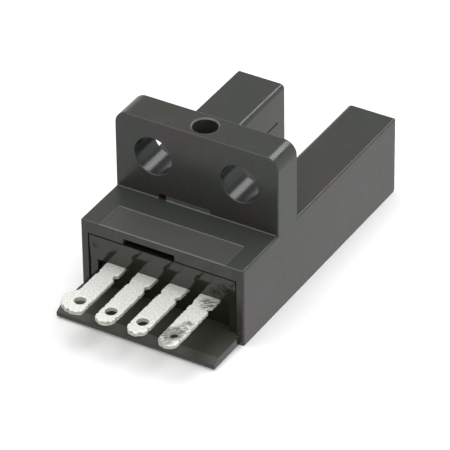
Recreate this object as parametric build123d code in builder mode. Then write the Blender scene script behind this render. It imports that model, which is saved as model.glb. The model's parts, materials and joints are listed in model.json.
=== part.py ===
"""Slotted optical switch: a forked case with a screw flange, soldering terminals and its circuit.

Millimetres. X runs across the case, Y from the connector end to the arm tips, Z up.
The origin is on the underside, at mid width, below the connector end face.
"""
from build123d import *
import os

# Case, outside
case_width = 13.2
case_length = 22.1
case_height = 6.34
slot_width = 5.32
slot_depth = 9.8
slot_corner_radius = 0.5
arm_edge_radius = 0.38
edge_radius = 0.14
tip_bevel = 0.28

# Case walls
side_wall = 0.57
roof_thickness = 1.0
slot_wall = 0.6
tip_wall = 0.45

# Screw flange
flange_setback = 4.87
flange_thickness = 2.7
flange_rise = 6.36
flange_corner_radius = 1.05
flange_edge_radius = 0.1
screw_hole_diameter = 3.0
screw_hole_spacing = 7.0
screw_hole_rise = 3.4
top_hole_diameter = 1.86
top_hole_depth = 4.0
screw_hole_rim = 0.05
top_hole_rim = 0.1
foot_bevel = 0.06

# Recessed panel on the roof
panel_x = 0.03
panel_width = 10.05
panel_length = 2.54
panel_setback = 0.12
panel_depth = 0.08
panel_rim = 0.05

# Indicator opening at the flange's foot, and the notch below it in the connector end
indicator_x = -1.02
indicator_width = 4.16
indicator_height = 0.4
indicator_gap = 0.6
guide_gap = 0.02
guide_depth = 0.8
notch_height = 0.46
notch_depth = 2.4

# Slit of the light beam
slit_length = 1.6
slit_height = 0.16
slit_inset = 1.1
slit_level = 3.55
slit_clearance = 0.02
rib_recess = 0.05

# Terminal base
fit_clearance = 0.1
end_wall = 1.3
wall_lean = 0.15
floor_thickness = 0.75
shelf_length = 3.5
shelf_lift = 0.14
shelf_nose = 0.34
shelf_bevel = 0.6
shelf_inset_left = 0.0
shelf_inset_right = 0.33
pocket_depth = 0.65
pocket_margin = 0.58
mark_diameter = 0.5
mark_depth = 0.05
mark_spacing = 10.8
mark_level = 4.5
rail_width = 1.0

# Terminals
terminal_count = 4
terminal_pitch = 2.54
terminal_width = 1.48
terminal_thickness = 0.32
terminal_level = 2.87
terminal_reach = 6.1
terminal_tail = 3.3
terminal_extra = 0.17
terminal_hole_diameter = 0.9
terminal_hole_inset = 1.42
terminal_edge = 0.05
notch_radius = 0.3
notch_reach = 1.15
notch_depth_right = 0.22
notch_depth_left = 0.09
eyelet_radius = 1.33
eyelet_neck = 0.35

# Circuit board
board_thickness = 0.8
board_clearance = 0.2
board_corner_radius = 0.4

# Windows, emitter and detector
window_thickness = 0.5
lens_gap = 0.05
lens_radius = 0.7
lens_height = 0.35
lens_bevel = 0.2
optic_length = 2.4
optic_height = 2.4
optic_clearance = 0.45
optic_corner_radius = 0.2
optic_lead_width = 0.4
optic_lead_thickness = 0.25
optic_lead_spacing = 0.8
optic_lead_overlap = 1.2

# Parts on the board
part_clearance = 0.3
chip_length = 4.4
chip_height = 1.3
chip_x = 0.5
chip_margin = 0.65
chip_lead_pitch = 1.0
chip_lead_count = 4
lead_width = 0.35
lead_thickness = 0.15
lead_reach = 0.7
lead_foot = 0.4
package_edge = 0.15
transistor_length = 2.9
transistor_width = 1.3
transistor_height = 1.0
transistor_inset = 1.73
transistor_lead_pitch = 0.95
diode_length = 2.7
diode_width = 1.6
diode_height = 1.1
diode_inset = 1.4
lamp_length = 1.6
lamp_width = 0.8
lamp_height = 0.6
lamp_gap = 0.15
resistor_length = 1.6
resistor_width = 0.8
resistor_height = 0.45
resistor_count = 3
resistor_spacing = 1.3
resistor_inset = 2.6
capacitor_length = 2.0
capacitor_width = 1.25
capacitor_height = 0.8
capacitor_inset = 1.4

# Worked out from the sizes above
half_width = case_width / 2
half_slot = slot_width / 2
slot_floor = case_length - slot_depth
roof_underside = case_height - roof_thickness
cavity_half = half_width - side_wall
cavity_end = case_length - tip_wall
arm_inside = half_slot + slot_wall
arm_middle = (arm_inside + cavity_half) / 2
flange_back = flange_setback + flange_thickness
insert_half = cavity_half - fit_clearance
insert_top = roof_underside - fit_clearance
terminal_top = terminal_level + terminal_thickness
board_level = terminal_level - board_thickness
slit_middle = case_length - slit_inset - slit_length / 2
guide_left = indicator_x - indicator_width / 2 + indicator_gap
guide_right = indicator_x + indicator_width / 2
guide_x = (guide_left + guide_right) / 2
guide_y = flange_setback + guide_depth / 2
board_half = cavity_half - board_clearance
board_front = end_wall + board_clearance
board_back = slot_floor - slot_wall - board_clearance
fork_inside = arm_inside + board_clearance
fork_end = slit_middle - optic_length / 2 - board_clearance
lens_tip = arm_inside + window_thickness + lens_gap
optic_face = lens_tip + lens_height
optic_middle = (optic_face + cavity_half - optic_clearance) / 2
optic_thickness = cavity_half - optic_clearance - optic_face
lamp_back = guide_y + lamp_width / 2
row_middle = (lamp_back + board_back) / 2
chip_width = board_back - lamp_back - 2 * (chip_margin + lead_reach)
transistor_x = transistor_inset - board_half
diode_x = board_half - diode_inset
resistor_x = board_half - resistor_inset
resistor_y = terminal_tail + part_clearance + resistor_length / 2
capacitor_x = capacitor_inset - board_half
capacitor_y = terminal_tail + part_clearance + capacitor_length / 2
tiny = 0.001

LOW = (Align.MIN, Align.MIN, Align.MIN)
MID = (Align.CENTER, Align.MIN, Align.MIN)
STANDING = (Align.CENTER, Align.CENTER, Align.MIN)


def edges_near(edges, axis, value):
    """Keeps the edges that lie at one value of an axis."""
    return edges.filter_by_position(axis, value - tiny, value + tiny)


# Flange: an upright plate with two rounded upper corners and soft edges
with BuildPart() as flange:
    with BuildSketch(Plane.XZ.offset(-flange_back)):
        with Locations((0, roof_underside)):
            plate_height = case_height + flange_rise - roof_underside
            Rectangle(case_width, plate_height, align=(Align.CENTER, Align.MIN))
        upper_corners = vertices().group_by(Axis.Y)[-1]
        fillet(upper_corners, flange_corner_radius)
    extrude(amount=flange_thickness)
    rims = flange.faces().filter_by(Axis.Y).edges()
    upper_rims = rims.filter_by_position(Axis.Z, roof_underside + tiny, case_height + flange_rise + tiny)
    fillet(upper_rims, flange_edge_radius)

# Housing: a fork seen from above, with the flange across it
with BuildPart() as housing:
    with BuildSketch():
        Rectangle(case_width, case_length, align=(Align.CENTER, Align.MIN))
        with Locations((0, slot_floor)):
            Rectangle(slot_width, slot_depth, align=(Align.CENTER, Align.MIN), mode=Mode.SUBTRACT)
        inner_corners = edges_near(vertices(), Axis.Y, slot_floor)
        fillet(inner_corners, slot_corner_radius)
    extrude(amount=case_height)

    # Rounded upper edges along the slot
    roof_edges = edges_near(housing.edges().filter_by(Axis.Y), Axis.Z, case_height)
    slot_edges = roof_edges.filter_by_position(Axis.X, -half_slot - tiny, half_slot + tiny)
    fillet(slot_edges, arm_edge_radius)

    # Soft outer edges: round both arm tips, along the sides and round the connector end
    tip_edges = edges_near(housing.faces().filter_by(Axis.Y), Axis.Y, case_length).edges()
    side_edges = housing.faces().filter_by(Axis.X).group_by(Axis.X)
    long_edges = (side_edges[0] + side_edges[-1]).edges().filter_by(Axis.Y)
    end_edges = edges_near(housing.faces().filter_by(Axis.Y), Axis.Y, 0).edges()
    outer_edges = tip_edges + long_edges + end_edges
    fillet(outer_edges.filter_by_position(Axis.Z, tiny, case_height + tiny), edge_radius)

    add(flange.part)

    # Small bevel along the flange's foot, front and back
    with BuildSketch(Plane.YZ.offset(edge_radius - half_width)):
        for face, side in ((flange_setback, -1), (flange_back, 1)):
            with BuildLine():
                Polyline(
                    (face, case_height),
                    (face + side * foot_bevel, case_height),
                    (face, case_height + foot_bevel),
                    close=True,
                )
            make_face()
    extrude(amount=case_width - 2 * edge_radius)

    # Bevel under the arm tips
    with BuildSketch(Plane.YZ.offset(-half_width)):
        with BuildLine():
            Polyline((case_length, 0), (case_length, tip_bevel), (case_length - tip_bevel, 0), close=True)
        make_face()
    extrude(amount=case_width, mode=Mode.SUBTRACT)

    # Inside: a fork-shaped hollow, open below and at the connector end
    with BuildSketch():
        Rectangle(2 * cavity_half, cavity_end, align=(Align.CENTER, Align.MIN))
        with Locations((0, slot_floor - slot_wall)):
            Rectangle(2 * arm_inside, case_length, align=(Align.CENTER, Align.MIN), mode=Mode.SUBTRACT)
    extrude(amount=roof_underside, mode=Mode.SUBTRACT)

    # Two screw holes through the flange
    with BuildSketch(Plane.XZ.offset(-flange_setback)):
        with Locations((0, case_height + screw_hole_rise)):
            with GridLocations(screw_hole_spacing, 0, 2, 1):
                Circle(screw_hole_diameter / 2)
    extrude(amount=-flange_thickness, mode=Mode.SUBTRACT)
    hole_edges = housing.edges().filter_by(GeomType.CIRCLE)
    screw_rims = hole_edges.filter_by(lambda e: abs(e.radius - screw_hole_diameter / 2) < tiny)
    chamfer(screw_rims, screw_hole_rim)

    # Blind hole down into the flange from its top edge
    with Locations((0, flange_setback + flange_thickness / 2, case_height + flange_rise)):
        CounterSinkHole(
            radius=top_hole_diameter / 2,
            counter_sink_radius=top_hole_diameter / 2 + top_hole_rim,
            depth=top_hole_depth,
        )

    # Shallow panel in the roof
    with Locations((panel_x, panel_setback, case_height - panel_depth)):
        Box(panel_width, panel_length, panel_depth, align=MID, mode=Mode.SUBTRACT)
    roof_lines = edges_near(housing.edges(), Axis.Z, case_height)
    panel_left = panel_x - panel_width / 2
    panel_right = panel_x + panel_width / 2
    panel_back = panel_setback + panel_length
    panel_lines = roof_lines.filter_by_position(Axis.X, panel_left - tiny, panel_right + tiny)
    panel_lines = panel_lines.filter_by_position(Axis.Y, panel_setback - tiny, panel_back + tiny)
    fillet(panel_lines, panel_rim)

    # Opening at the flange's foot, and its light guide's way through the roof
    with Locations((indicator_x, flange_setback - foot_bevel, case_height)):
        Box(indicator_width, guide_depth + foot_bevel, indicator_height, align=MID, mode=Mode.SUBTRACT)
    with Locations((guide_left, flange_setback, roof_underside)):
        Box(guide_right - guide_left, guide_depth, roof_thickness, align=LOW, mode=Mode.SUBTRACT)

    # Notch in the roof's edge at the connector end
    with Locations((indicator_x, 0, roof_underside)):
        Box(indicator_width, notch_depth, notch_height, align=MID, mode=Mode.SUBTRACT)

    # Slits through both walls of the slot
    with Locations((0, slit_middle, slit_level)):
        Box(2 * arm_inside, slit_length, slit_height, mode=Mode.SUBTRACT)

# Terminal base: end wall, floor that closes the case, and the shelf under the terminals
with BuildPart() as terminal_base:
    with BuildSketch():
        Rectangle(2 * insert_half, cavity_end - fit_clearance, align=(Align.CENTER, Align.MIN))
        with Locations((0, slot_floor - slot_wall - fit_clearance)):
            fork_gap = 2 * (arm_inside + fit_clearance)
            Rectangle(fork_gap, case_length, align=(Align.CENTER, Align.MIN), mode=Mode.SUBTRACT)
    extrude(amount=floor_thickness)

    # Shelf with its bevelled front edge
    shelf_left = -half_width + shelf_inset_left
    shelf_right = half_width - shelf_inset_right
    with BuildSketch(Plane.YZ.offset(shelf_left)):
        with BuildLine():
            Polyline(
                (0, shelf_lift),
                (-shelf_length, shelf_lift),
                (-shelf_length, shelf_lift + shelf_nose),
                (-shelf_length + shelf_bevel, floor_thickness),
                (0, floor_thickness),
                close=True,
            )
        make_face()
    extrude(amount=shelf_right - shelf_left)

    # End wall: its outer face leans back a little going down, and is set back under the terminals
    with BuildSketch(Plane.YZ.offset(-insert_half)):
        with BuildLine():
            Polyline(
                (wall_lean, terminal_top),
                (0, insert_top),
                (end_wall, insert_top),
                (end_wall, floor_thickness),
                (pocket_depth, floor_thickness),
                (pocket_depth, terminal_top),
                close=True,
            )
        make_face()
    extrude(amount=2 * insert_half)
    for side in (-1, 1):
        with Locations((side * (insert_half - pocket_margin / 2), wall_lean, floor_thickness)):
            Box(pocket_margin, pocket_depth - wall_lean, terminal_top - floor_thickness, align=MID)

    # Slots that hold the terminals
    with Locations((0, pocket_depth, terminal_level)):
        with GridLocations(terminal_pitch, 0, terminal_count, 1):
            Box(terminal_width, end_wall - pocket_depth, terminal_thickness, align=MID, mode=Mode.SUBTRACT)

    # Two round ejector marks on the end face
    with BuildSketch(Plane.XZ):
        with Locations((0, mark_level)):
            with GridLocations(mark_spacing, 0, 2, 1):
                Circle(mark_diameter / 2)
    mark_face = wall_lean * (insert_top - mark_level) / (insert_top - terminal_top)
    extrude(amount=-mark_face - mark_depth, mode=Mode.SUBTRACT)

    # Rails that carry the board and the emitter and detector
    rail_length = cavity_end - fit_clearance - end_wall
    for side in (-1, 1):
        with Locations((side * arm_middle, end_wall, floor_thickness)):
            Box(rail_width, rail_length, board_level - floor_thickness, align=MID)


def make_terminal(index, reach, eyelet):
    """Flat stamped terminal with two side notches and a wire hole, plain or with a round eyelet."""
    middle = (index - (terminal_count - 1) / 2) * terminal_pitch
    half = terminal_width / 2
    hole_centre = (middle, terminal_hole_inset - reach)
    with BuildPart() as terminal:
        with BuildSketch(Plane.XY.offset(terminal_level)):
            blade_end = hole_centre[1] if eyelet else half - reach
            with Locations((middle, terminal_tail)):
                Rectangle(terminal_width, terminal_tail - blade_end, align=(Align.CENTER, Align.MAX))
            with Locations((middle, blade_end)):
                Circle(eyelet_radius if eyelet else half)
            if eyelet:
                with Locations((middle + half, blade_end)):
                    trim = 2 * eyelet_radius
                    Rectangle(trim, 2 * trim, align=(Align.MIN, Align.CENTER), mode=Mode.SUBTRACT)
                neck = edges_near(vertices(), Axis.X, middle - half).sort_by(Axis.Y)[0]
                fillet(neck, eyelet_neck)
            with Locations(hole_centre):
                Circle(terminal_hole_diameter / 2, mode=Mode.SUBTRACT)
            right_notch = (middle + half + notch_radius - notch_depth_right, -notch_reach)
            left_notch = (middle - half - notch_radius + notch_depth_left, -notch_reach)
            with Locations(right_notch, left_notch):
                Circle(notch_radius, mode=Mode.SUBTRACT)
        extrude(amount=terminal_thickness)
        outside = edges_near(terminal.edges(), Axis.Z, terminal_top)
        chamfer(outside.filter_by_position(Axis.Y, -reach, 0, inclusive=(True, False)), terminal_edge)
    return terminal


# Four terminals in a row, the first with the eyelet and the last a little longer
supply_terminal = make_terminal(0, terminal_reach, True)
select_terminal = make_terminal(1, terminal_reach, False)
output_terminal = make_terminal(2, terminal_reach, False)
ground_terminal = make_terminal(3, terminal_reach + terminal_extra, False)

# Light guide: a bar in the flange's foot with a leg down to the indicator lamp
with BuildPart() as light_guide:
    with Locations((guide_left, flange_setback, roof_underside)):
        bar_height = roof_thickness + indicator_height - guide_gap
        Box(guide_right - guide_left, guide_depth, bar_height, align=LOW)
    with BuildSketch(Plane.YZ.offset(guide_left)):
        with BuildLine():
            Polyline(
                (flange_setback, case_height),
                (flange_setback - foot_bevel, case_height),
                (flange_setback, case_height + foot_bevel),
                close=True,
            )
        make_face()
    extrude(amount=guide_right - guide_left)
    leg_foot = terminal_level + lamp_height + lamp_gap
    with Locations((guide_x, guide_y, leg_foot)):
        Box(lamp_length, guide_depth, roof_underside - leg_foot, align=STANDING)

# Forked circuit board
with BuildPart() as circuit_board:
    with BuildSketch(Plane.XY.offset(board_level)):
        with Locations((0, board_front)):
            Rectangle(2 * board_half, fork_end - board_front, align=(Align.CENTER, Align.MIN))
        with Locations((0, board_back)):
            Rectangle(2 * fork_inside, case_length, align=(Align.CENTER, Align.MIN), mode=Mode.SUBTRACT)
        fillet(vertices(), board_corner_radius)
    extrude(amount=board_thickness)


def make_window(side):
    """Filter plate behind the slit of one arm, with a rib that fills the slit against dust."""
    with BuildPart() as window:
        with Locations((side * (arm_inside + window_thickness / 2), slit_middle, slit_level)):
            Box(window_thickness, optic_length, slit_height + 2 * lens_radius)
        with Locations((side * arm_inside, slit_middle, slit_level)):
            flush = (Align.MAX if side > 0 else Align.MIN, Align.CENTER, Align.CENTER)
            rib_length = slit_length - 2 * slit_clearance
            Box(slot_wall - rib_recess, rib_length, slit_height - 2 * slit_clearance, align=flush)
    return window


def make_optic(side):
    """Lens body of the emitter or the detector, standing on its rail and facing the slit."""
    with BuildPart() as optic:
        with Locations((side * optic_middle, slit_middle, board_level)):
            Box(optic_thickness, optic_length, optic_height, align=STANDING)
        fillet(optic.edges().filter_by(Axis.Z), optic_corner_radius)
        with BuildSketch(Plane.YZ.offset(side * optic_face)):
            with Locations((slit_middle, slit_level)):
                Circle(lens_radius)
        extrude(amount=-side * lens_height)
        lens_rim = edges_near(optic.edges().filter_by(GeomType.CIRCLE), Axis.X, side * lens_tip)
        chamfer(lens_rim, lens_bevel)
    return optic


def make_optic_leads(side):
    """Two flat legs from the lens body back over the fork of the board."""
    back = slit_middle - optic_length / 2
    length = board_clearance + optic_lead_overlap
    with BuildPart() as leads:
        with Locations((side * optic_middle, back, terminal_level)):
            with GridLocations(optic_lead_spacing, 0, 2, 1):
                flush = (Align.CENTER, Align.MAX, Align.MIN)
                Box(optic_lead_width, length, optic_lead_thickness, align=flush)
    return leads


emitter_window = make_window(-1)
receiver_window = make_window(1)
infrared_emitter = make_optic(-1)
photo_detector = make_optic(1)
emitter_leads = make_optic_leads(-1)
detector_leads = make_optic_leads(1)


def make_package(x, y, size_x, size_y, size_z):
    """Moulded package on the board, with bevelled upper edges."""
    with BuildPart() as package:
        with Locations((x, y, terminal_level)):
            Box(size_x, size_y, size_z, align=STANDING)
        chamfer(package.faces().sort_by(Axis.Z)[-1].edges(), package_edge)
    return package


def make_leg(body_height):
    """Bent leg of a moulded package, from the origin outward along X."""
    shoulder = body_height / 2
    with BuildPart() as leg:
        with BuildSketch(Plane.XZ):
            with BuildLine():
                Polyline(
                    (0, shoulder),
                    (lead_reach - lead_foot, shoulder),
                    (lead_reach - lead_foot, lead_thickness),
                    (lead_reach, lead_thickness),
                    (lead_reach, 0),
                    (lead_reach - lead_foot - lead_thickness, 0),
                    (lead_reach - lead_foot - lead_thickness, shoulder - lead_thickness),
                    (0, shoulder - lead_thickness),
                    close=True,
                )
            make_face()
        extrude(amount=lead_width / 2, both=True)
    return leg


# Amplifier with four legs on each long side
amplifier_chip = make_package(chip_x, row_middle, chip_length, chip_width, chip_height)
chip_leg = make_leg(chip_height)
with BuildPart() as amplifier_leads:
    for side in (-1, 1):
        leg_start = (chip_x, row_middle + side * chip_width / 2, terminal_level)
        with Locations(Location(leg_start, (0, 0, side * 90))):
            with GridLocations(0, chip_lead_pitch, 1, chip_lead_count):
                add(chip_leg.part)

# Transistor with two legs on one side and one on the other
output_transistor = make_package(
    transistor_x, row_middle, transistor_width, transistor_length, transistor_height
)
transistor_leg = make_leg(transistor_height)
with BuildPart() as transistor_leads:
    with Locations((transistor_x + transistor_width / 2, row_middle, terminal_level)):
        with GridLocations(0, 2 * transistor_lead_pitch, 1, 2):
            add(transistor_leg.part)
    with Locations(Location((transistor_x - transistor_width / 2, row_middle, terminal_level), (0, 0, 180))):
        add(transistor_leg.part)

protection_diode = make_package(diode_x, row_middle, diode_width, diode_length, diode_height)

with BuildPart() as indicator_lamp:
    with Locations((guide_x, guide_y, terminal_level)):
        Box(lamp_length, lamp_width, lamp_height, align=STANDING)

with BuildPart() as chip_resistors:
    with Locations((resistor_x, resistor_y, terminal_level)):
        with GridLocations(resistor_spacing, 0, resistor_count, 1):
            Box(resistor_width, resistor_length, resistor_height, align=STANDING)

with BuildPart() as supply_capacitor:
    with Locations((capacitor_x, capacitor_y, terminal_level)):
        Box(capacitor_width, capacitor_length, capacitor_height, align=STANDING)

pieces = {
    "housing": housing,
    "terminal_base": terminal_base,
    "supply_terminal": supply_terminal,
    "select_terminal": select_terminal,
    "output_terminal": output_terminal,
    "ground_terminal": ground_terminal,
    "light_guide": light_guide,
    "emitter_window": emitter_window,
    "receiver_window": receiver_window,
    "circuit_board": circuit_board,
    "infrared_emitter": infrared_emitter,
    "emitter_leads": emitter_leads,
    "photo_detector": photo_detector,
    "detector_leads": detector_leads,
    "indicator_lamp": indicator_lamp,
    "amplifier_chip": amplifier_chip,
    "amplifier_leads": amplifier_leads,
    "output_transistor": output_transistor,
    "transistor_leads": transistor_leads,
    "protection_diode": protection_diode,
    "chip_resistors": chip_resistors,
    "supply_capacitor": supply_capacitor,
}

os.makedirs("parts", exist_ok=True)
for name, piece in pieces.items():
    piece.part.label = name
    export_step(piece.part, f"parts/{name}.step")
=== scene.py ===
"""Slotted optical switch: the finishes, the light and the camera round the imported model.

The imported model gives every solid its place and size, in metres, with +Y from the terminals to the arm tips
and +Z up. This script gives the solids their materials, and makes the tinned coats of the four terminals as
meshes of their own, because dipped tin has soft, uneven edges.
"""
import json
import logging
import math
from dataclasses import dataclass
from enum import Enum

import bpy
from mathutils import Matrix, Vector, noise


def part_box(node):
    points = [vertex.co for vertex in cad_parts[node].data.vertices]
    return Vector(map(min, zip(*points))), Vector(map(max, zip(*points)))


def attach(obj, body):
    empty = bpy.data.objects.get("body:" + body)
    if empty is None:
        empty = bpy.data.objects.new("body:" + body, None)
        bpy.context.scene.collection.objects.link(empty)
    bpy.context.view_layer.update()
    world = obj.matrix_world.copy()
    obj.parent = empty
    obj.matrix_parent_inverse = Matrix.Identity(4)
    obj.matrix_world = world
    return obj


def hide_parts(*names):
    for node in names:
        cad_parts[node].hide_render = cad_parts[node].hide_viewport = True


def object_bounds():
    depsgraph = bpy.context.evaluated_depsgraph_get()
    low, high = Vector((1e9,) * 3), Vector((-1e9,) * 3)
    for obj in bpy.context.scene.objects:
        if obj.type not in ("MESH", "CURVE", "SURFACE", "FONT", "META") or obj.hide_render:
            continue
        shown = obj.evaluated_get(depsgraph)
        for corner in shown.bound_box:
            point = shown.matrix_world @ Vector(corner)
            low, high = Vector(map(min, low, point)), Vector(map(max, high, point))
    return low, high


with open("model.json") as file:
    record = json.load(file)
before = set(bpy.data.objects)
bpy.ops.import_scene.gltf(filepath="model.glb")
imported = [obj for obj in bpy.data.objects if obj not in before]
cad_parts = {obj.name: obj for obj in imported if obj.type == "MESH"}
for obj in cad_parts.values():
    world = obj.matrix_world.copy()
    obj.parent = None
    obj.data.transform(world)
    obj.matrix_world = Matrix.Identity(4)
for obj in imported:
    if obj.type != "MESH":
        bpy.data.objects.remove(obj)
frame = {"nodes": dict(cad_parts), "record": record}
CAD_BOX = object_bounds()

Tree = bpy.types.NodeTree
Socket = bpy.types.NodeSocket
Material = bpy.types.Material
Colour = tuple[float, float, float, float]
Triple = tuple[float, float, float]
Pair = tuple[float, float]

MM = 0.001
BODY = "root"
log = logging.getLogger("optical_switch")

# Sockets of the Mix node go by number, because several have the same name
SHARE = 0
VALUE_A, VALUE_B = 2, 3
COLOUR_A, COLOUR_B, MIXED_COLOUR = 6, 7, 2

# A noise pattern keeps near its middle value, so a band round that is spread over what the pattern drives
NOISE_MIDDLE = 0.5
WIDE_BAND = {"From Min": 0.3, "From Max": 0.7}
NARROW_BAND = {"From Min": 0.35, "From Max": 0.65}


# Colour and node helpers


def linear(hex_colour: str) -> Colour:
    """Turns an sRGB hex colour into linear RGBA.

    Args:
        hex_colour: the colour as six hex digits after a hash sign.

    Returns:
        Red, green, blue and an alpha of 1, linear.
    """
    channels = []
    for start in (1, 3, 5):
        value = int(hex_colour[start:start + 2], 16) / 255
        channels.append(value / 12.92 if value <= 0.04045 else ((value + 0.055) / 1.055) ** 2.4)
    return (*channels, 1.0)


def per_metre(size_mm: float) -> float:
    """Gives the texture scale at which one feature is size_mm wide."""
    return 1.0 / (size_mm * MM)


def add_node(tree: Tree, kind: str, inputs: dict[str | int, object] | None = None,
             **settings: object) -> bpy.types.Node:
    """Adds one node to a tree, with its settings and what goes into it.

    Args:
        tree: the node tree.
        kind: the node's type name.
        inputs: socket name or number to a constant or to another node's output.
        **settings: the node's own properties.

    Returns:
        The new node.
    """
    node = tree.nodes.new(kind)
    for name, value in settings.items():
        setattr(node, name, value)
    for key, value in (inputs or {}).items():
        if isinstance(value, Socket):
            tree.links.new(value, node.inputs[key])
        else:
            node.inputs[key].default_value = value
    return node


def new_material(name: str) -> tuple[Material, Tree]:
    """Makes an empty node material.

    Args:
        name: the finish's name.

    Returns:
        The material and its node tree, with no node in it.
    """
    material = bpy.data.materials.new(name)
    material.use_nodes = True
    material.node_tree.nodes.clear()
    return material, material.node_tree


def facing_up(tree: Tree) -> Socket:
    """Gives how far the surface faces up in the piece's own frame, 1 for a level top."""
    normal = add_node(tree, "ShaderNodeTexCoord").outputs["Normal"]
    return add_node(tree, "ShaderNodeSeparateXYZ", {0: normal}).outputs["Z"]


def mottle(tree: Tree, pattern: Socket, first: str, second: str) -> Socket:
    """Mixes two colours in soft patches.

    Args:
        tree: the node tree.
        pattern: the noise that the patches follow.
        first: the colour where the noise is low, as sRGB hex.
        second: the colour where it is high, as sRGB hex.

    Returns:
        The mixed colour.
    """
    share = add_node(tree, "ShaderNodeMapRange", {"Value": pattern, **NARROW_BAND}).outputs[0]
    inputs = {SHARE: share, COLOUR_A: linear(first), COLOUR_B: linear(second)}
    return add_node(tree, "ShaderNodeMix", inputs, data_type="RGBA").outputs[MIXED_COLOUR]


# Zones of a piece with a finish of their own


class Zone:
    """A stretch of a piece with a finish of its own."""

    def mask(self, tree: Tree, place: Socket) -> Socket:
        """Gives 1 inside the zone and 0 outside.

        Args:
            tree: the node tree.
            place: the point's place on its piece, in metres.

        Returns:
            The mask's value.
        """
        raise NotImplementedError


class Across(Enum):
    """The two directions across a round hole's axis: 1 for each of them, and 0 along the axis."""

    Y_AXIS = (1.0, 0.0, 1.0)
    Z_AXIS = (1.0, 1.0, 0.0)


@dataclass(frozen=True)
class Bore(Zone):
    """What lies within a radius of an axis: a round hole's wall, or a round spot."""

    centre: Vector
    radius: float
    across: Across

    def distance(self, tree: Tree, place: Socket) -> Socket:
        """Measures how far the point is from the axis.

        Args:
            tree: the node tree.
            place: the point's place on its piece, in metres.

        Returns:
            The distance, in metres.
        """
        inputs = {0: place, 1: self.centre}
        away = add_node(tree, "ShaderNodeVectorMath", inputs, operation="SUBTRACT").outputs[0]
        inputs = {0: away, 1: self.across.value}
        flat = add_node(tree, "ShaderNodeVectorMath", inputs, operation="MULTIPLY").outputs[0]
        return add_node(tree, "ShaderNodeVectorMath", {0: flat}, operation="LENGTH").outputs["Value"]

    def nearness(self, tree: Tree, place: Socket, inner: float, outer: float) -> Socket:
        """Fades a round spot out from its core.

        Args:
            tree: the node tree.
            place: the point's place on its piece, in metres.
            inner: the distance from the axis up to which the spot is full, in metres.
            outer: the distance at which nothing is left of it, in metres.

        Returns:
            The spot's share, from 1 to 0.
        """
        return add_node(tree, "ShaderNodeMapRange", {
            "Value": self.distance(tree, place),
            "From Min": inner,
            "From Max": outer,
            "To Min": 1.0,
            "To Max": 0.0,
        }).outputs[0]

    def mask(self, tree: Tree, place: Socket) -> Socket:
        """Gives 1 within the radius of the axis."""
        inputs = {0: self.distance(tree, place), 1: self.radius}
        return add_node(tree, "ShaderNodeMath", inputs, operation="LESS_THAN").outputs[0]


@dataclass(frozen=True)
class Patch(Zone):
    """What lies in a box."""

    low: Vector
    high: Vector

    def mask(self, tree: Tree, place: Socket) -> Socket:
        """Gives 1 in the box and 0 outside.

        Args:
            tree: the node tree.
            place: the point's place on its piece, in metres.

        Returns:
            The mask's value.
        """
        middle = (self.low + self.high) / 2
        half = (self.high - self.low) / 2
        away = add_node(tree, "ShaderNodeVectorMath", {0: place, 1: middle}, operation="SUBTRACT").outputs[0]
        size = add_node(tree, "ShaderNodeVectorMath", {0: away}, operation="ABSOLUTE").outputs[0]
        share = add_node(tree, "ShaderNodeVectorMath", {0: size, 1: half}, operation="DIVIDE").outputs[0]
        parts = add_node(tree, "ShaderNodeSeparateXYZ", {0: share}).outputs
        wider = add_node(tree, "ShaderNodeMath", {0: parts[0], 1: parts[1]}, operation="MAXIMUM").outputs[0]
        widest = add_node(tree, "ShaderNodeMath", {0: wider, 1: parts[2]}, operation="MAXIMUM").outputs[0]
        return add_node(tree, "ShaderNodeMath", {0: widest, 1: 1.0}, operation="LESS_THAN").outputs[0]


@dataclass(frozen=True)
class Area:
    """A zone of a piece with another gloss and another colour."""

    zone: Zone
    roughness: float
    colour: str


# Finishes


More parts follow.
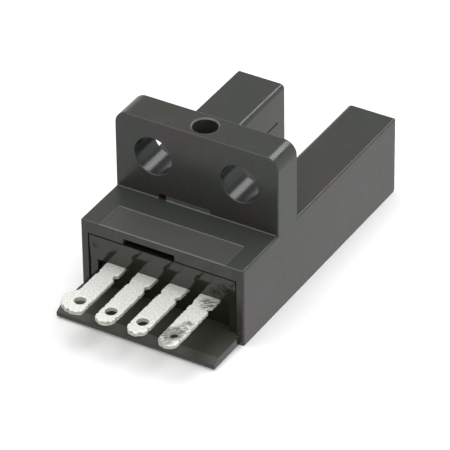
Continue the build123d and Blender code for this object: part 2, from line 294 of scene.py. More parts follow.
@dataclass(frozen=True)
class MouldedPlastic:
    """Injection-moulded plastic: a fine spark-eroded grain that breaks the gloss, and faint flow marks.

    The grain is drawn coarser than the real one, which is too fine to show in the picture.
    """

    name: str
    colour: str
    second_colour: str
    roughness: float
    roughness_spread: float = 0.04
    ior: float = 1.46
    grain_mm: float = 0.11
    grain_height_mm: float = 0.0008
    patch_mm: float = 1.0
    flow_mm: float = 4.0
    flow_height_mm: float = 0.012
    flow_pull: float = 0.6
    areas: tuple[Area, ...] = ()

    def build(self) -> Material:
        """Makes the material.

        Returns:
            The material.
        """
        material, tree = new_material(self.name)
        place = add_node(tree, "ShaderNodeTexCoord").outputs["Object"]
        flow = add_node(tree, "ShaderNodeTexNoise", {
            "Vector": place,
            "Scale": per_metre(self.flow_mm),
            "Detail": 1.0,
            "Distortion": self.flow_pull,
        }).outputs["Fac"]
        patches = add_node(tree, "ShaderNodeTexNoise", {
            "Vector": place,
            "Scale": per_metre(self.patch_mm),
            "Detail": 3.0,
        }).outputs["Fac"]
        grain = add_node(tree, "ShaderNodeTexNoise", {
            "Vector": place,
            "Scale": per_metre(self.grain_mm),
            "Detail": 1.0,
        }).outputs["Fac"]
        colour = mottle(tree, flow, self.colour, self.second_colour)
        gloss = add_node(tree, "ShaderNodeMapRange", {
            "Value": patches,
            **WIDE_BAND,
            "To Min": self.roughness - self.roughness_spread,
            "To Max": self.roughness + self.roughness_spread,
        }).outputs[0]
        for area in self.areas:
            inside = area.zone.mask(tree, place)
            inputs = {SHARE: inside, VALUE_A: gloss, VALUE_B: area.roughness}
            gloss = add_node(tree, "ShaderNodeMix", inputs).outputs[0]
            inputs = {SHARE: inside, COLOUR_A: colour, COLOUR_B: linear(area.colour)}
            colour = add_node(tree, "ShaderNodeMix", inputs, data_type="RGBA").outputs[MIXED_COLOUR]
        wave = add_node(tree, "ShaderNodeBump", {"Height": flow, "Distance": self.flow_height_mm * MM})
        bump = add_node(tree, "ShaderNodeBump", {
            "Height": grain,
            "Distance": self.grain_height_mm * MM,
            "Normal": wave.outputs["Normal"],
        })
        shader = add_node(tree, "ShaderNodeBsdfPrincipled", {
            "Base Color": colour,
            "Roughness": gloss,
            "IOR": self.ior,
            "Normal": bump.outputs["Normal"],
        })
        add_node(tree, "ShaderNodeOutputMaterial", {"Surface": shader.outputs["BSDF"]})
        return material


@dataclass(frozen=True)
class TinnedBrass:
    """Stamped brass dipped in tin: a dull, slightly grainy white metal, with painted shade on its sides.

    The grain is drawn coarser than the real one, which is too fine to show in the picture.
    """

    name: str
    colour: str = "#fafbf5"
    dull_colour: str = "#dcddd4"
    hole_shade_colour: str = "#9a9a90"
    side_shade_colour: str = "#b4b5ab"
    scratch_colour: str = "#3a3a33"
    metallic: float = 0.25
    roughness: float = 0.45
    roughness_spread: float = 0.08
    grain_mm: float = 0.09
    grain_height_mm: float = 0.008
    # How wide the duller patches are, counted in grains
    patch_grains: float = 1.6
    # How far up a surface faces where the sides' painted shade starts and is full, and where the scraping
    # does
    side_shade_slope: Pair = (0.7, 0.2)
    top_slope: Pair = (0.4, 0.6)
    # The scraped lines follow a stretched and turned noise, in groups and within round spots
    scratch_mm: float = 0.3
    scratch_width: float = 0.14
    scratch_pull: float = 1.0
    scratch_stretch: Triple = (2.4, 0.5, 1.0)
    scratch_turn: float = 0.9
    group_mm: float = 0.9
    group_range: Pair = (0.25, 0.38)
    spot_core: float = 0.5
    # The grey smears round the wire hole: where they fade out, how wide they are, and how dark
    scuff_reach_mm: Pair = (0.62, 0.95)
    scuff_mm: float = 0.16
    scuff_shown: Pair = (0.1, 1.0)
    hole: Bore | None = None
    scratched: tuple[Bore, ...] = ()

    def build(self) -> Material:
        """Makes the material.

        Returns:
            The material.
        """
        material, tree = new_material(self.name)
        place = add_node(tree, "ShaderNodeTexCoord").outputs["Object"]
        patches = add_node(tree, "ShaderNodeTexNoise", {
            "Vector": place,
            "Scale": per_metre(self.grain_mm * self.patch_grains),
            "Detail": 3.0,
        }).outputs["Fac"]
        grain = add_node(tree, "ShaderNodeTexNoise", {
            "Vector": place,
            "Scale": per_metre(self.grain_mm),
            "Detail": 3.0,
        }).outputs["Fac"]
        # The sides are painted greyer than the top: painted shade
        edge = add_node(tree, "ShaderNodeMapRange", {
            "Value": facing_up(tree),
            "From Min": self.side_shade_slope[0],
            "From Max": self.side_shade_slope[1],
        }).outputs[0]
        layers = [(edge, self.side_shade_colour)]
        if self.scratched:
            layers.append((self.scratches(tree, place), self.scratch_colour))
        # The wire hole's wall is painted grey: painted shade
        if self.hole:
            layers.append((self.hole.mask(tree, place), self.hole_shade_colour))
        colour = mottle(tree, patches, self.colour, self.dull_colour)
        for share, layer_colour in layers:
            inputs = {SHARE: share, COLOUR_A: colour, COLOUR_B: linear(layer_colour)}
            colour = add_node(tree, "ShaderNodeMix", inputs, data_type="RGBA").outputs[MIXED_COLOUR]
        gloss = add_node(tree, "ShaderNodeMapRange", {
            "Value": patches,
            **WIDE_BAND,
            "To Min": self.roughness - self.roughness_spread,
            "To Max": self.roughness + self.roughness_spread,
        }).outputs[0]
        bump = add_node(tree, "ShaderNodeBump", {"Height": grain, "Distance": self.grain_height_mm * MM})
        shader = add_node(tree, "ShaderNodeBsdfPrincipled", {
            "Base Color": colour,
            "Metallic": self.metallic,
            "Roughness": gloss,
            "Normal": bump.outputs["Normal"],
        })
        add_node(tree, "ShaderNodeOutputMaterial", {"Surface": shader.outputs["BSDF"]})
        return material

    def scratches(self, tree: Tree, place: Socket) -> Socket:
        """Draws the scraping: dark lines in the scraped spots, lines and grey smears round the wire hole.

        Args:
            tree: the node tree.
            place: the point's place on its piece, in metres.

        Returns:
            How dark the scraping is, from 0 to 1, on the blade's top only.
        """
        turned = add_node(tree, "ShaderNodeMapping", {
            "Vector": place,
            "Rotation": (0, 0, self.scratch_turn),
            "Scale": self.scratch_stretch,
        }, vector_type="TEXTURE").outputs[0]
        inner, outer = (reach * MM for reach in self.scuff_reach_mm)
        near = self.hole.nearness(tree, place, inner, outer)
        strokes = self.strokes(tree, place, turned, near)
        scuffs = add_node(tree, "ShaderNodeTexNoise", {
            "Vector": turned,
            "Scale": per_metre(self.scuff_mm),
            "Detail": 3.0,
        }).outputs["Fac"]
        dirt = add_node(tree, "ShaderNodeMapRange", {
            "Value": scuffs,
            **NARROW_BAND,
            "To Min": self.scuff_shown[0],
            "To Max": self.scuff_shown[1],
        }).outputs[0]
        smears = add_node(tree, "ShaderNodeMath", {0: dirt, 1: near}, operation="MULTIPLY").outputs[0]
        shown = add_node(tree, "ShaderNodeMath", {0: strokes, 1: smears}, operation="MAXIMUM").outputs[0]
        top = add_node(tree, "ShaderNodeMapRange", {
            "Value": facing_up(tree),
            "From Min": self.top_slope[0],
            "From Max": self.top_slope[1],
        }).outputs[0]
        return add_node(tree, "ShaderNodeMath", {0: shown, 1: top}, operation="MULTIPLY").outputs[0]

    def strokes(self, tree: Tree, place: Socket, turned: Socket, near: Socket) -> Socket:
        """Draws the thin dark lines, which follow one value of a stretched noise.

        Args:
            tree: the node tree.
            place: the point's place on its piece, in metres.
            turned: the same place, turned and stretched along the strokes.
            near: the share of the lines round the wire hole.

        Returns:
            How dark a line is, from 0 to 1.
        """
        marks = add_node(tree, "ShaderNodeTexNoise", {
            "Vector": turned,
            "Scale": per_metre(self.scratch_mm),
            "Detail": 2.0,
            "Distortion": self.scratch_pull,
        }).outputs["Fac"]
        away = add_node(tree, "ShaderNodeMath", {0: marks, 1: NOISE_MIDDLE}, operation="SUBTRACT").outputs[0]
        distance = add_node(tree, "ShaderNodeMath", {0: away}, operation="ABSOLUTE").outputs[0]
        lines = add_node(tree, "ShaderNodeMapRange", {
            "Value": distance,
            "From Min": 0.0,
            "From Max": self.scratch_width,
            "To Min": 1.0,
            "To Max": 0.0,
        }).outputs[0]
        clusters = add_node(tree, "ShaderNodeTexNoise", {
            "Vector": place,
            "Scale": per_metre(self.group_mm),
            "Detail": 1.0,
        }).outputs["Fac"]
        groups = add_node(tree, "ShaderNodeMapRange", {
            "Value": clusters,
            "From Min": self.group_range[0],
            "From Max": self.group_range[1],
        }).outputs[0]
        share = near
        for spot in self.scratched:
            soft = spot.nearness(tree, place, spot.radius * self.spot_core, spot.radius)
            apart = add_node(tree, "ShaderNodeMath", {0: groups, 1: soft}, operation="MULTIPLY").outputs[0]
            share = add_node(tree, "ShaderNodeMath", {0: share, 1: apart}, operation="MAXIMUM").outputs[0]
        return add_node(tree, "ShaderNodeMath", {0: lines, 1: share}, operation="MULTIPLY").outputs[0]


@dataclass(frozen=True)
class TintedResin:
    """Tinted resin, cast or moulded, with a slightly hazy gloss; clear says how much light passes through."""

    name: str
    colour: str
    roughness: float
    ior: float = 1.55
    clear: float = 0.8
    haze_mm: float = 0.6
    haze_share: float = 0.2

    def build(self) -> Material:
        """Makes the material.

        Returns:
            The material.
        """
        material, tree = new_material(self.name)
        place = add_node(tree, "ShaderNodeTexCoord").outputs["Object"]
        haze = add_node(tree, "ShaderNodeTexNoise", {
            "Vector": place,
            "Scale": per_metre(self.haze_mm),
            "Detail": 3.0,
        }).outputs["Fac"]
        gloss = add_node(tree, "ShaderNodeMapRange", {
            "Value": haze,
            **WIDE_BAND,
            "To Min": self.roughness * (1 - self.haze_share),
            "To Max": self.roughness * (1 + self.haze_share),
        }).outputs[0]
        shader = add_node(tree, "ShaderNodeBsdfPrincipled", {
            "Base Color": linear(self.colour),
            "Roughness": gloss,
            "IOR": self.ior,
            "Transmission Weight": self.clear,
        })
        add_node(tree, "ShaderNodeOutputMaterial", {"Surface": shader.outputs["BSDF"]})
        return material


@dataclass(frozen=True)
class BoardLaminate:
    """Woven glass laminate under green solder resist: glossy, with lighter tracks and a faint grid."""

    name: str
    colour: str = "#1d5a32"
    track_colour: str = "#2c7a48"
    roughness: float = 0.35
    resist_coat: float = 0.4
    thread_mm: float = 0.4
    thread_height_mm: float = 0.004
    track_mm: float = 1.1
    track_edge: Pair = (0.3, 0.34)

    def build(self) -> Material:
        """Makes the material.

        Returns:
            The material.
        """
        material, tree = new_material(self.name)
        place = add_node(tree, "ShaderNodeTexCoord").outputs["Object"]
        weave = add_node(tree, "ShaderNodeTexChecker", {"Vector": place, "Scale": per_metre(self.thread_mm)})
        tracks = add_node(tree, "ShaderNodeTexVoronoi", {
            "Vector": place,
            "Scale": per_metre(self.track_mm),
        }, distance="CHEBYCHEV")
        bare = add_node(tree, "ShaderNodeMapRange", {
            "Value": tracks.outputs["Distance"],
            "From Min": self.track_edge[0],
            "From Max": self.track_edge[1],
        }).outputs[0]
        inputs = {SHARE: bare, COLOUR_A: linear(self.track_colour), COLOUR_B: linear(self.colour)}
        colour = add_node(tree, "ShaderNodeMix", inputs, data_type="RGBA").outputs[MIXED_COLOUR]
        bump = add_node(tree, "ShaderNodeBump", {
            "Height": weave.outputs["Fac"],
            "Distance": self.thread_height_mm * MM,
        })
        shader = add_node(tree, "ShaderNodeBsdfPrincipled", {
            "Base Color": colour,
            "Roughness": self.roughness,
            "Coat Weight": self.resist_coat,
            "Normal": bump.outputs["Normal"],
        })
        add_node(tree, "ShaderNodeOutputMaterial", {"Surface": shader.outputs["BSDF"]})
        return material


@dataclass(frozen=True)
class CappedCeramic:
    """Fired ceramic chip: a matt, speckled body between two tinned end caps.

    The chip lies along Y, with its middle and its half length in metres.
    """

    name: str
    colour: str
    middle: float
    half_length: float
    cap_share: float = 0.2
    cap_colour: str = "#c9c9c4"
    speckle_colour: str = "#8a8478"
    speckle_mm: float = 0.15
    speckle_range: Pair = (0.4, 0.7)
    speckle_shown: float = 0.3
    roughness: Pair = (0.4, 0.55)

    def build(self) -> Material:
        """Makes the material.

        Returns:
            The material.
        """
        material, tree = new_material(self.name)
        place = add_node(tree, "ShaderNodeTexCoord").outputs["Object"]
        along = add_node(tree, "ShaderNodeSeparateXYZ", {0: place}).outputs["Y"]
        away = add_node(tree, "ShaderNodeMath", {0: along, 1: self.middle}, operation="SUBTRACT").outputs[0]
        distance = add_node(tree, "ShaderNodeMath", {0: away}, operation="ABSOLUTE").outputs[0]
        edge = self.half_length * (1 - 2 * self.cap_share)
        cap = add_node(tree, "ShaderNodeMath", {0: distance, 1: edge}, operation="GREATER_THAN").outputs[0]
        speckle = add_node(tree, "ShaderNodeTexNoise", {
            "Vector": place,
            "Scale": per_metre(self.speckle_mm),
            "Detail": 4.0,
        }).outputs["Fac"]
        dots = add_node(tree, "ShaderNodeMapRange", {
            "Value": speckle,
            "From Min": self.speckle_range[0],
            "From Max": self.speckle_range[1],
            "To Max": self.speckle_shown,
        }).outputs[0]
        colour = linear(self.colour)
        for share, layer_colour in ((dots, self.speckle_colour), (cap, self.cap_colour)):
            inputs = {SHARE: share, COLOUR_A: colour, COLOUR_B: linear(layer_colour)}
            colour = add_node(tree, "ShaderNodeMix", inputs, data_type="RGBA").outputs[MIXED_COLOUR]
        gloss = add_node(tree, "ShaderNodeMapRange", {
            "Value": speckle,
            **WIDE_BAND,
            "To Min": self.roughness[0],
            "To Max": self.roughness[1],
        }).outputs[0]
        shader = add_node(tree, "ShaderNodeBsdfPrincipled", {
            "Base Color": colour,
            "Metallic": cap,
            "Roughness": gloss,
        })
        add_node(tree, "ShaderNodeOutputMaterial", {"Surface": shader.outputs["BSDF"]})
        return material


# Sub-assemblies


def dress(node: str, material: Material) -> None:
    """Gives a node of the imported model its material.

    Args:
        node: the node's name.
        material: its finish.
    """
    piece = frame["nodes"][node]
    piece.data.materials.clear()
    piece.data.materials.append(material)
    log.info("%s: %s", node, material.name)


@dataclass
class Case:
    """The moulded case: body, arms and flange in one piece, and the insert that closes it.

    The boxes of the roof and of its panel reach a little above and below the surface that they colour.
    """

    screw_holes: tuple[str, ...] = ("left_screw_hole", "right_screw_hole")
    bore_rim_mm: float = 0.02
    # How far past the top hole's wall its painted highlight reaches
    highlight_rim_mm: float = 0.11
    panel_low_mm: Triple = (-4.995, 0.12, 6.2)
    panel_high_mm: Triple = (5.055, 2.66, 6.4)
    panel_rim_mm: float = 0.07
    roof_low_mm: Triple = (-6.5, 0.1, 6.25)
    roof_high_mm: Triple = (6.5, 4.8, 6.45)
    shelf_end_mm: float = 0.66
    shelf_top_mm: float = 0.8

    def build(self) -> None:
        """Dresses the housing and the terminal base."""
        # Moulded ABS: semi-gloss, with smooth holes from polished core pins and an etched panel
        housing = MouldedPlastic(
            name="moulded_abs", colour="#333830", second_colour="#393635", roughness=0.25, ior=1.45,
            areas=(*self.bores(), *self.top_hole(), *self.roof(), *self.panel()))
        # Moulded PBT from a polished tool: the terminals show in its wall as blurred lighter patches
        insert = MouldedPlastic(
            name="moulded_pbt_polished", colour="#24231b", second_colour="#26251d", roughness=0.08,
            roughness_spread=0.02, ior=1.5, grain_height_mm=0.0003, flow_height_mm=0.004,
            areas=(self.shelf(),))
        dress("housing", housing.build())
        dress("terminal_base", insert.build())

    def bore(self, name: str, rim_mm: float, across: Across) -> Bore:
        """Finds one round hole among the record's mounts.

        Args:
            name: the mount's name.
            rim_mm: how far past the hole's wall the zone reaches.
            across: the directions across the hole's axis.

        Returns:
            The zone.
        """
        mount = next(mount for mount in frame["record"]["mounts"] if mount["name"] == name)
        return Bore(Vector(mount["pos_m"]), (mount["dims"]["r_mm"] + rim_mm) * MM, across)

    def bores(self) -> tuple[Area, ...]:
        """Gives the walls of the screw holes, which polished core pins made."""
        return tuple(Area(self.bore(name, self.bore_rim_mm, Across.Y_AXIS), roughness=0.25, colour="#25292a")
                     for name in self.screw_holes)

    def top_hole(self) -> tuple[Area, ...]:
        """Gives the hole in the flange's top edge.

        Returns:
            The hole's rim, painted lighter as a highlight, and the dark hole itself.
        """
        rim = self.bore("top_hole", self.highlight_rim_mm, Across.Z_AXIS)
        hole = self.bore("top_hole", self.bore_rim_mm, Across.Z_AXIS)
        # The rim's light grey is a painted highlight
        return Area(rim, roughness=0.35, colour="#6c6d66"), Area(hole, roughness=0.4, colour="#393c36")

    def roof(self) -> tuple[Area, ...]:
        """Gives the roof before the flange: a little duller than the walls, with painted light on it."""
        roof = Patch(Vector(self.roof_low_mm) * MM, Vector(self.roof_high_mm) * MM)
        # Its lighter colour is painted light
        return (Area(roof, roughness=0.36, colour="#3a3e38"),)

    def panel(self) -> tuple[Area, ...]:
        """Gives the sunk panel of the roof.

        Returns:
            The panel's rim, painted lighter as a highlight along its edges, and its etched floor within.
        """
        low, high = Vector(self.panel_low_mm), Vector(self.panel_high_mm)
        rim = Vector((self.panel_rim_mm, self.panel_rim_mm, 0))
        outer = Patch((low - rim) * MM, (high + rim) * MM)
        floor = Patch((low + rim / 2) * MM, (high - rim / 2) * MM)
        # The rim's light grey is a painted highlight along the panel's edges
        return Area(outer, roughness=0.3, colour="#64645e"), Area(floor, roughness=0.42, colour="#4b4b49")

    def shelf(self) -> Area:
        """Gives the shelf before the end wall: a little scuffed, and painted lighter to stand in for light.

        Returns:
            The shelf.
        """
        low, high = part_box("terminal_base")
        zone = Patch(low, Vector((high.x, self.shelf_end_mm * MM, self.shelf_top_mm * MM)))
        # Its colour, lighter than the wall's, is painted light
        return Area(zone, roughness=0.52, colour="#3c3e34")


@dataclass(frozen=True)
class Blade:
    """One terminal.

    It holds its node's name, how far its wire hole lies from the tip, how far the tin fills that hole at its
    wall, whether it is the worn one, and half its width.
    """

    node: str
    hole_inset_mm: float = 1.42
    hole_fill_mm: float = 0.05
    worn: bool = False
    half_width_mm: float = 0.74

    @property
    def hole_mm(self) -> Vector:
        """The place of the wire hole's axis, in millimetres."""
        low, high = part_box(self.node)
        return Vector((high.x / MM - self.half_width_mm, low.y / MM + self.hole_inset_mm, 0))


@dataclass
class TerminalRow:
    """The four tinned terminals, with soft coats made over the stamped blades."""

    blades: tuple[Blade, ...] = (
        Blade("supply_terminal", hole_inset_mm=1.33),
        Blade("select_terminal", hole_fill_mm=0.02),
        Blade("output_terminal"),
        Blade("ground_terminal", hole_fill_mm=0.11, worn=True),
    )
    lean_degrees: float = 1.0
    hole_radius_mm: float = 0.45
    # Each scraped spot: how far right of the wire hole it lies, how far beyond it, and its radius
    worn_mm: tuple[Triple, ...] = (
        (0.35, 0.7, 0.85), (0.35, 1.4, 0.55), (0.45, 4.2, 0.95), (-0.25, -0.85, 0.95))
    voxel_mm: float = 0.03
    # Each layer of dents along the edges: how wide they are, and how deep at most
    waves_mm: tuple[Pair, ...] = ((0.5, 0.12), (0.26, 0.34))
    # The share of that depth all along the blade, and how far from the tip the rest of it reaches
    plain_share: float = 0.35
    lumpy_reach_mm: float = 2.0
    # Round the wire hole, up to this many of its radii, the dents are this share as deep
    rim_reach: float = 1.2
    rim_share: float = 0.5
    pit_mm: float = 0.12
    pit_height_mm: float = 0.008
    # What the coat adds at the long sides, and from where to where along Y that fades before the wall
    swell_mm: float = 0.05
    swell_end_mm: Pair = (0.3, 0.6)
    # How far apart, along X and Y, two neighbouring terminals read the noise
    noise_step_mm: Pair = (17.3, 5.1)
    smooth_rounds: int = 3
    smooth_factor: float = 0.5

    def build(self) -> None:
        """Makes the coat of each terminal."""
        for index, blade in enumerate(self.blades):
            self.coat(blade, index)

    def finish(self, blade: Blade) -> TinnedBrass:
        """Gives one terminal's finish: its wire hole's wall in painted grey shade, and the scrapes on the
        worn one.

        Args:
            blade: the terminal.

        Returns:
            The finish.
        """
        hole = Bore(blade.hole_mm * MM, self.hole_radius_mm * MM, Across.Z_AXIS)
        if not blade.worn:
            return TinnedBrass(name=f"tinned_brass_{blade.node}", hole=hole)
        spots = tuple(Bore(hole.centre + Vector((right, beyond, 0)) * MM, radius * MM, hole.across)
                      for right, beyond, radius in self.worn_mm)
        return TinnedBrass(name="tinned_brass_scraped", hole=hole, scratched=spots)

    def coat(self, blade: Blade, seed: int) -> None:
        """Makes one terminal's coat from its stamped blade.

        Args:
            blade: the terminal.
            seed: which part of the noise this blade takes.
        """
        mesh = frame["nodes"][blade.node].data.copy()
        mesh.transform(Matrix.Scale(1 / MM, 4))
        piece = bpy.data.objects.new(f"tinned_{blade.node}", mesh)
        bpy.context.scene.collection.objects.link(piece)
        remesh = piece.modifiers.new("even", "REMESH")
        remesh.mode = "VOXEL"
        remesh.voxel_size = self.voxel_mm
        smooth = piece.modifiers.new("soft", "SMOOTH")
        smooth.factor = self.smooth_factor
        smooth.iterations = self.smooth_rounds
        graph = bpy.context.evaluated_depsgraph_get()
        soft = bpy.data.meshes.new_from_object(piece.evaluated_get(graph))
        piece.modifiers.clear()
        piece.data = soft
        self.roughen(soft, blade, seed)
        if blade.worn:
            self.lean(soft)
        soft.transform(Matrix.Scale(MM, 4))
        soft.shade_smooth()
        soft.materials.clear()
        soft.materials.append(self.finish(blade).build())
        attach(piece, BODY)
        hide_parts(blade.node)
        log.info("%s: %d faces of tin coat", piece.name, len(soft.polygons))

    def roughen(self, mesh: bpy.types.Mesh, blade: Blade, seed: int) -> None:
        """Gives a coat its thickness at the sides, its uneven edges and fine pits, and narrows the wire hole.

        Args:
            mesh: the coat's mesh, in millimetres.
            blade: the terminal.
            seed: which part of the noise this blade takes.
        """
        shift = Vector((*(step * seed for step in self.noise_step_mm), 0))
        centre = blade.hole_mm.xy
        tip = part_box(blade.node)[0].y / MM
        thinning, slot = self.swell_end_mm
        moved = []
        for vertex in mesh.vertices:
            place = vertex.co + shift
            level = Vector((place.x, place.y, 0))
            depth = sum(height * max(0.0, noise.noise(level / width)) for width, height in self.waves_mm)
            near = max(0.0, 1 - (vertex.co.y - tip) / self.lumpy_reach_mm)
            depth *= self.plain_share + (1 - self.plain_share) * near
            if (vertex.co.xy - centre).length < self.hole_radius_mm * self.rim_reach:
                depth = depth * self.rim_share - blade.hole_fill_mm
            pit = (noise.noise(place / self.pit_mm) + 1) / 2 * self.pit_height_mm
            normal = vertex.normal
            side = Vector((normal.x, normal.y, 0))
            free = min(1.0, max(0.0, (slot - vertex.co.y) / (slot - thinning)))
            swell = Vector((normal.x * self.swell_mm * free, 0, 0))
            moved.append(vertex.co + swell - side * depth - normal * pit)
        for vertex, place in zip(mesh.vertices, moved):
            vertex.co = place

    def lean(self, mesh: bpy.types.Mesh) -> None:
        """Bends the free length of the worn blade a little to the right, as it is in the photograph.

        Args:
            mesh: the coat's mesh, in millimetres.
        """
        slope = math.tan(math.radians(self.lean_degrees))
        for vertex in mesh.vertices:
            if vertex.co.y < 0:
                vertex.co.x -= vertex.co.y * slope


@dataclass
class Indicator:
    """The smoky bar at the flange's foot and the lamp under it."""

    # Moulded polycarbonate with a smoky tint: a dull grey strip, because no light comes up through it
    guide_finish: TintedResin = TintedResin(name="smoky_polycarbonate", colour="#5c5d55", roughness=0.25,
                                            ior=1.42, clear=0.0)
    # Cast epoxy with a red tint: a small glossy block
    lamp_finish: TintedResin = TintedResin(name="red_tinted_epoxy", colour="#c8452c", roughness=0.15)

    def build(self) -> None:
        """Dresses the light guide and the lamp."""
        dress("light_guide", self.guide_finish.build())
        dress("indicator_lamp", self.lamp_finish.build())


@dataclass
class BeamParts:
    """What sends and receives the beam: windows, lens bodies and their legs."""

    # Moulded plastic dyed to pass infrared light only: nearly black, with a wine-red depth
    window_finish: TintedResin = TintedResin(name="infrared_filter_plastic", colour="#2a0f1c", roughness=0.1,
                                             clear=0.3)
    # Cast epoxy with a blue tint: clear and glossy
    emitter_finish: TintedResin = TintedResin(name="blue_tinted_epoxy", colour="#6a78b8", roughness=0.08)
    # Cast epoxy dyed against daylight: glossy black
    detector_finish: TintedResin = TintedResin(name="black_epoxy", colour="#151518", roughness=0.1, clear=0.2)
    # Stamped and tinned legs: the same white metal as the terminals
    lead_finish: TinnedBrass = TinnedBrass(name="tinned_leads", grain_mm=0.1)

    def build(self) -> None:
        """Dresses both sides of the beam, and the legs of the parts on the board."""
        window = self.window_finish.build()
        leads = self.lead_finish.build()
        for node in ("emitter_window", "receiver_window"):
            dress(node, window)
        for node in ("emitter_leads", "detector_leads", "amplifier_leads", "transistor_leads"):
            dress(node, leads)
        dress("infrared_emitter", self.emitter_finish.build())
        dress("photo_detector", self.detector_finish.build())


@dataclass
class Circuit:
    """The board and the parts on it."""

    board_finish: BoardLaminate = BoardLaminate(name="green_board_laminate")
    # Filled epoxy moulding compound: matt black
    package_finish: MouldedPlastic = MouldedPlastic(name="epoxy_package_moulding", colour="#232325",
                                                    second_colour="#28282a", roughness=0.6)

    def build(self) -> None:
        """Dresses the board, the packages and the ceramic parts."""
        dress("circuit_board", self.board_finish.build())
        package = self.package_finish.build()
        for node in ("amplifier_chip", "output_transistor", "protection_diode"):
            dress(node, package)
        for node, name, colour in (
            ("chip_resistors", "resistor_ceramic_capped", "#26262b"),
            ("supply_capacitor", "capacitor_ceramic_capped", "#9a7a52"),
        ):
            low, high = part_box(node)
            middle = ((low + high) / 2).y
            finish = CappedCeramic(name, colour, middle, half_length=(high.y - low.y) / 2)
            dress(node, finish.build())


# Studio


class Softbox(Enum):
    """The lamps: where each stands, its length and width, all in millimetres, and its power in watts.

    The long side lies level and square to the way from the camera to the switch.
    """

    BEHIND = ((50.0, 240.0, 235.0), 160.0, 60.0, 0.24)
    OVERHEAD = ((-100.0, 10.0, 310.0), 220.0, 180.0, 0.33)


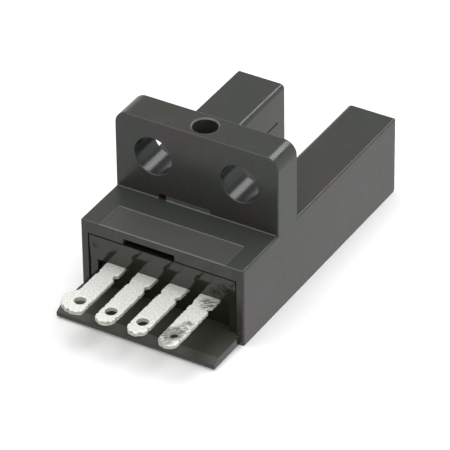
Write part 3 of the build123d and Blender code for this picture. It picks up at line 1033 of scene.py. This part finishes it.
@dataclass
class Studio:
    """A white table and a white room with two soft lamps, and the camera."""

    # The table: its side in metres, how bright gloss mirrors it, and what the camera's view of it gains
    floor_size: float = 3.0
    floor_colour: str = "#f8f8f8"
    floor_mirrored: float = 1.0
    floor_lift: float = 0.1
    # The room's light, and how it grows to the right, to the back and up
    room_colour: str = "#ffffff"
    room_light: float = 0.34
    room_lean: Triple = (0.5, 0.15, 0.8)
    # What gloss mirrors of the room: its strengths, and the heights and the depth at which they change
    front_mirrored: float = 2.7
    front_low_mirrored: float = 0.7
    backdrop_mirrored: float = 1.0
    ceiling_mirrored: float = 0.45
    backdrop_top: float = 0.3
    ceiling_start: float = 0.5
    front_start: Pair = (0.35, 0.6)
    front_edge: Pair = (-0.2, -0.6)
    # The camera: its angles in degrees, its distance from the point it aims at, its lens, sensor and clipping
    azimuth: float = 30.717
    elevation: float = 34.857
    roll: float = -0.732
    distance_mm: float = 299.11
    aim_mm: Triple = (0.803, 7.387, 3.834)
    lens: float = 337.285
    sensor_mm: float = 36.0
    clip: Pair = (0.01, 10.0)

    def build(self) -> None:
        """Makes the floor, the room's light, the lamps and the camera."""
        self.lay_floor()
        self.light_room()
        for lamp in Softbox:
            self.hang(lamp)
        self.place_camera()
        bpy.context.scene.view_settings.view_transform = "Standard"

    def lay_floor(self) -> None:
        """Lays the white table that keeps the soft shadow; gloss mirrors it white, without the shadow."""
        half = self.floor_size / 2
        mesh = bpy.data.meshes.new("table")
        corners = [(-half, -half, 0), (half, -half, 0), (half, half, 0), (-half, half, 0)]
        mesh.from_pydata(corners, [], [(0, 1, 2, 3)])
        floor = bpy.data.objects.new("table", mesh)
        bpy.context.scene.collection.objects.link(floor)
        floor.location.z = CAD_BOX[0].z
        # Painted board: matt and white
        material, tree = new_material("white_table")
        colour = linear(self.floor_colour)
        lit = add_node(tree, "ShaderNodeBsdfDiffuse", {"Color": colour}).outputs[0]
        even = add_node(tree, "ShaderNodeEmission", {
            "Color": colour,
            "Strength": self.floor_mirrored,
        }).outputs[0]
        path = add_node(tree, "ShaderNodeLightPath").outputs
        table = add_node(tree, "ShaderNodeMixShader", {0: path["Is Glossy Ray"], 1: lit, 2: even}).outputs[0]
        lift = add_node(tree, "ShaderNodeMath", {
            0: path["Is Camera Ray"],
            1: self.floor_lift,
        }, operation="MULTIPLY").outputs[0]
        glow = add_node(tree, "ShaderNodeEmission", {"Color": colour, "Strength": lift}).outputs[0]
        surface = add_node(tree, "ShaderNodeAddShader", {0: table, 1: glow}).outputs[0]
        add_node(tree, "ShaderNodeOutputMaterial", {"Surface": surface})
        mesh.materials.append(material)

    def light_room(self) -> None:
        """Lights the room, most from above; gloss mirrors a bright front, a backdrop and a darker ceiling."""
        world = bpy.data.worlds.new("white_room")
        world.use_nodes = True
        tree = world.node_tree
        tree.nodes.clear()
        way = add_node(tree, "ShaderNodeTexCoord").outputs["Generated"]
        parts = add_node(tree, "ShaderNodeSeparateXYZ", {0: way}).outputs
        behind = add_node(tree, "ShaderNodeMapRange", {
            "Value": parts["Z"],
            "From Min": self.backdrop_top,
            "From Max": self.ceiling_start,
            "To Min": self.backdrop_mirrored,
            "To Max": self.ceiling_mirrored,
        }).outputs[0]
        ahead = add_node(tree, "ShaderNodeMapRange", {
            "Value": parts["Z"],
            "From Min": self.front_start[0],
            "From Max": self.front_start[1],
            "To Min": self.front_low_mirrored,
            "To Max": self.front_mirrored,
        }).outputs[0]
        front = add_node(tree, "ShaderNodeMapRange", {
            "Value": parts["Y"],
            "From Min": self.front_edge[0],
            "From Max": self.front_edge[1],
        }).outputs[0]
        mirrored = add_node(tree, "ShaderNodeMix", {SHARE: front, VALUE_A: behind, VALUE_B: ahead}).outputs[0]
        rise = add_node(tree, "ShaderNodeVectorMath", {0: way, 1: self.room_lean}, operation="DOT_PRODUCT")
        spread = add_node(tree, "ShaderNodeMath", {0: rise.outputs["Value"], 1: self.room_light}).outputs[0]
        path = add_node(tree, "ShaderNodeLightPath").outputs
        shown = add_node(tree, "ShaderNodeMath", {
            0: path["Is Camera Ray"],
            1: path["Is Transmission Ray"],
        }, operation="MAXIMUM").outputs[0]
        light = add_node(tree, "ShaderNodeMix", {
            SHARE: path["Is Glossy Ray"],
            VALUE_A: spread,
            VALUE_B: mirrored,
        }).outputs[0]
        strength = add_node(tree, "ShaderNodeMix", {SHARE: shown, VALUE_A: light, VALUE_B: 1.0}).outputs[0]
        room = add_node(tree, "ShaderNodeBackground", {
            "Color": linear(self.room_colour),
            "Strength": strength,
        })
        add_node(tree, "ShaderNodeOutputWorld", {"Surface": room.outputs[0]})
        bpy.context.scene.world = world

    def hang(self, lamp: Softbox) -> None:
        """Hangs one soft lamp, turned to the switch.

        Args:
            lamp: which lamp.
        """
        place, length, width, power = lamp.value
        data = bpy.data.lights.new(f"{lamp.name.lower()}_softbox", "AREA")
        data.shape = "RECTANGLE"
        data.size = length * MM
        data.size_y = width * MM
        data.energy = power
        light = bpy.data.objects.new(data.name, data)
        bpy.context.scene.collection.objects.link(light)
        light.location = Vector(place) * MM
        away = (light.location - Vector(self.aim_mm) * MM).normalized()
        turn = math.radians(self.azimuth)
        across = Vector((math.cos(turn), math.sin(turn), 0))
        along = (across - away * across.dot(away)).normalized()
        light.rotation_mode = "QUATERNION"
        light.rotation_quaternion = Matrix((along, away.cross(along), away)).transposed().to_quaternion()

    def place_camera(self) -> None:
        """Places the camera where the photograph was taken from."""
        turn, rise, tilt = (math.radians(a) for a in (self.azimuth, self.elevation, self.roll))
        back = Vector((math.sin(turn) * math.cos(rise), -math.cos(turn) * math.cos(rise), math.sin(rise)))
        level = Vector((math.cos(turn), math.sin(turn), 0))
        upright = back.cross(level)
        right = level * math.cos(tilt) + upright * math.sin(tilt)
        above = upright * math.cos(tilt) - level * math.sin(tilt)
        data = bpy.data.cameras.new("photo_camera")
        data.sensor_width = self.sensor_mm
        data.lens = self.lens
        data.clip_start, data.clip_end = self.clip
        camera = bpy.data.objects.new("photo_camera", data)
        bpy.context.scene.collection.objects.link(camera)
        place = Matrix((right, above, back)).transposed().to_4x4()
        place.translation = (Vector(self.aim_mm) + back * self.distance_mm) * MM
        camera.matrix_world = place
        bpy.context.scene.camera = camera


def main() -> None:
    """Builds the switch's finishes, then the studio."""
    logging.basicConfig(level=logging.INFO, format="%(message)s")
    for part in (Case(), TerminalRow(), Indicator(), BeamParts(), Circuit(), Studio()):
        log.info("building %s", type(part).__name__)
        part.build()


if __name__ == "__main__":
    main()
